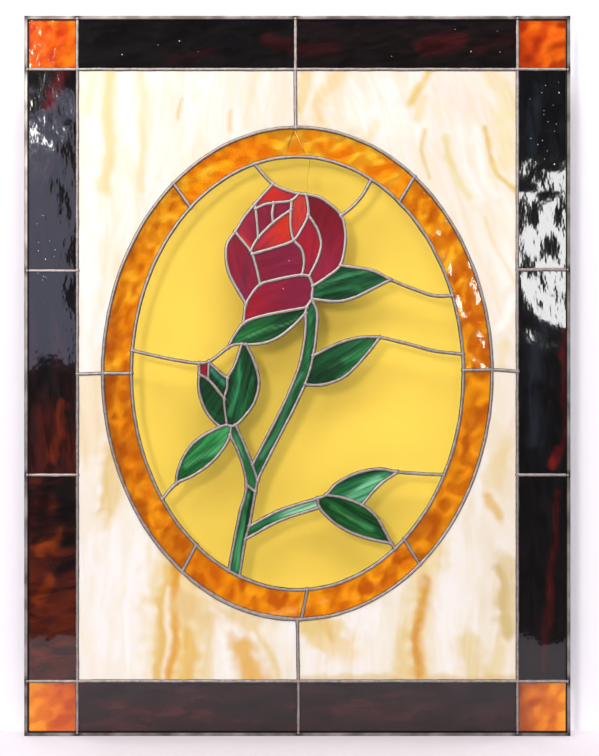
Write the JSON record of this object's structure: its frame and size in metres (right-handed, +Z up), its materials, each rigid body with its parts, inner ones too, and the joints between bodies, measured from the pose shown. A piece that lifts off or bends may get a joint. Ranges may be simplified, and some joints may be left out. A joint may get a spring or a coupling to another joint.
{
  "type": "stained glass window",
  "caption": "Rectangular stained glass panel: a long-stemmed rose in an amber oval on streaky fields, with a dark glass border, soldered seams and a metal edge.",
  "frame": {"origin": "middle of the sill edge: centre of the flat underside of the perimeter came, at mid thickness", "axes": "+Z up the panel's height, +X to the right as its front is seen, -Y out of its front face"},
  "size_m": [0.559, 0.006, 0.737],
  "materials": {
    "amber_glass": "rippled, translucent",
    "dark_glass": "streaky, rippled, nearly opaque",
    "cream_glass": "streaky opalescent",
    "yellow_glass": "clear, smooth",
    "red_glass": "streaky, glossy",
    "green_glass": "streaky, glossy",
    "solder": "rounded solder bead, lightly tarnished",
    "came": "dull zinc-grey channel"
  },
  "bodies": {
    "root": {"corner_head_left": "amber_glass", "corner_head_right": "amber_glass", "corner_sill_left": "amber_glass", "corner_sill_right": "amber_glass", "ring_top": "amber_glass", "ring_upper_left": "amber_glass", "ring_lower_left": "amber_glass", "ring_bottom_left": "amber_glass", "ring_bottom_right": "amber_glass", "ring_lower_right": "amber_glass", "ring_upper_right": "amber_glass", "border_head_left": "dark_glass", "border_head_right": "dark_glass", "border_sill_left": "dark_glass", "border_sill_right": "dark_glass", "border_left_upper": "dark_glass", "border_left_middle": "dark_glass", "border_left_lower": "dark_glass", "border_right_upper": "dark_glass", "border_right_middle": "dark_glass", "border_right_lower": "dark_glass", "field_upper_left": "cream_glass", "field_upper_right": "cream_glass", "field_lower_left": "cream_glass", "field_lower_right": "cream_glass", "ground_top": "yellow_glass", "ground_upper_left": "yellow_glass", "ground_lower_left": "yellow_glass", "ground_bottom_left": "yellow_glass", "ground_upper_right": "yellow_glass", "ground_between_leaves": "yellow_glass", "ground_right": "yellow_glass", "ground_leaf_notch": "yellow_glass", "ground_bottom": "yellow_glass", "ground_centre": "yellow_glass", "petal_crown": "red_glass", "petal_left_inner": "red_glass", "petal_heart": "red_glass", "petal_fold": "red_glass", "petal_upper_right": "red_glass", "petal_right_inner": "red_glass", "petal_right_outer": "red_glass", "petal_left_outer": "red_glass", "petal_centre": "red_glass", "petal_base": "red_glass", "bud_tip": "red_glass", "leaf_upper_right": "green_glass", "leaf_under_rose": "green_glass", "leaf_middle_right": "green_glass", "leaf_low_left": "green_glass", "leaf_twig_upper": "green_glass", "leaf_twig_lower": "green_glass", "bud_sepals": "green_glass", "bud_leaf": "green_glass", "stem_upper": "green_glass", "stem_lower": "green_glass", "stem_branch": "green_glass", "stem_twig": "green_glass", "solder_matrix": "solder", "perimeter_came": "came"}
  },
  "joints": []
}
